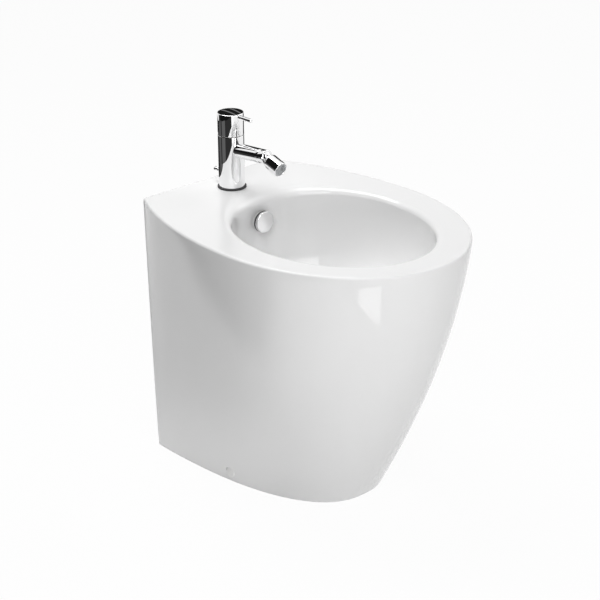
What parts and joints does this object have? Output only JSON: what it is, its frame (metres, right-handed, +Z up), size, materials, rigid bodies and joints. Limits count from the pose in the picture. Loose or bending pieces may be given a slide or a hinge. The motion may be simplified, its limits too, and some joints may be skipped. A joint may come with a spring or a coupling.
{
  "type": "floor standing bidet",
  "caption": "Back-to-wall ceramic bidet on the floor with a single-lever chrome mixer, swivelling ball nozzle, overflow and pop-up waste.",
  "frame": {"origin": "on the floor, under the middle of the casting's width and depth", "axes": "+Z up, +Y towards the wall behind the fixture, +X to the right seen from the front"},
  "size_m": [0.38, 0.5, 0.5401],
  "materials": {
    "glaze": "gloss",
    "chrome": "polished",
    "brass": "satin",
    "steel": "satin",
    "white_plastic": "satin",
    "grey_plastic": "satin",
    "ivory_plastic": "satin",
    "disc_ceramic": "satin",
    "black_rubber": "matte",
    "grey_rubber": "matte",
    "white_rubber": "matte"
  },
  "bodies": {
    "bidet": {"ceramic_body": "glaze", "overflow_duct": "glaze", "overflow_cover": "chrome", "overflow_bush": "white_plastic", "floor_brackets": "steel", "side_screws": "steel", "screw_caps": "white_plastic", "base_gasket": "black_rubber", "base_flange": "chrome", "mixer_column": "chrome", "spout": "chrome", "collar": "chrome", "cartridge_seals": "black_rubber", "cartridge_shell": "ivory_plastic", "fixed_disc": "disc_ceramic", "cartridge_nut": "brass", "fixing_pad": "black_rubber", "fixing_plate": "steel", "fixing_stud": "brass", "fixing_nut": "brass", "lever_seats": "white_plastic", "lever_nut": "chrome", "flange_gasket": "white_rubber", "waste_flange": "chrome", "waste_gasket": "grey_rubber", "waste_body": "chrome", "tail_gasket": "grey_rubber", "tail_nut": "chrome", "tailpiece": "chrome"},
    "swivel": {"cartridge_carrier": "ivory_plastic", "stem_pin": "steel"},
    "handle": {"cartridge_stem": "brass", "handle_cap": "chrome", "lever_pin": "chrome", "grub_screw": "steel"},
    "disc": {"moving_disc": "disc_ceramic"},
    "seat": {"ball_seat": "white_plastic"},
    "nozzle": {"nozzle_ball": "chrome", "nozzle_body": "chrome", "strainer_washer": "black_rubber", "strainer": "grey_plastic"},
    "knob": {"lift_rod": "chrome", "lift_knob": "chrome", "rod_clamp": "chrome", "clamp_screw": "chrome"},
    "lever": {"ball_lever": "chrome"},
    "plug": {"waste_plug": "chrome", "plug_seal": "black_rubber"}
  },
  "joints": [
    {"name": "handle_swivel", "type": "hinge", "parent": "bidet", "child": "swivel", "pos_m": [0, 0.1935, 0.42], "axis": [0, 0, 1], "range_deg": [-45, 45]},
    {"name": "handle_lift", "type": "hinge", "parent": "swivel", "child": "handle", "pos_m": [0, 0.1935, 0.5], "axis": [-1, 0, 0], "range_deg": [0, 16]},
    {"name": "disc_slide", "type": "slide", "parent": "swivel", "child": "disc", "axis": [0, -1, 0], "range_m": [0, 0.003]},
    {"name": "nozzle_roll", "type": "hinge", "parent": "bidet", "child": "seat", "pos_m": [0, 0.11574, 0.48712], "axis": [0, -0.9969, 0.0785], "continuous": true},
    {"name": "nozzle_tilt", "type": "hinge", "parent": "seat", "child": "nozzle", "pos_m": [0, 0.11574, 0.48712], "axis": [-1, 0, 0], "range_deg": [-1.5, 48.5]},
    {"name": "knob_lift", "type": "slide", "parent": "bidet", "child": "knob", "axis": [0, 0, 1], "range_m": [0, 0.026]},
    {"name": "lever_swing", "type": "hinge", "parent": "bidet", "child": "lever", "pos_m": [0, 0.055, 0.206], "axis": [1, 0, 0], "range_deg": [0, 9.94]},
    {"name": "plug_drop", "type": "slide", "parent": "bidet", "child": "plug", "axis": [0, 0, -1], "range_m": [0, 0.00521]}
  ],
  "couplings": [
    {"joint": "disc_slide", "follows": "handle_lift", "m_per_rad": 0.010611},
    {"joint": "lever_swing", "follows": "knob_lift", "rad_per_m": 6.6667},
    {"joint": "plug_drop", "follows": "knob_lift", "ratio": 0.2}
  ]
}
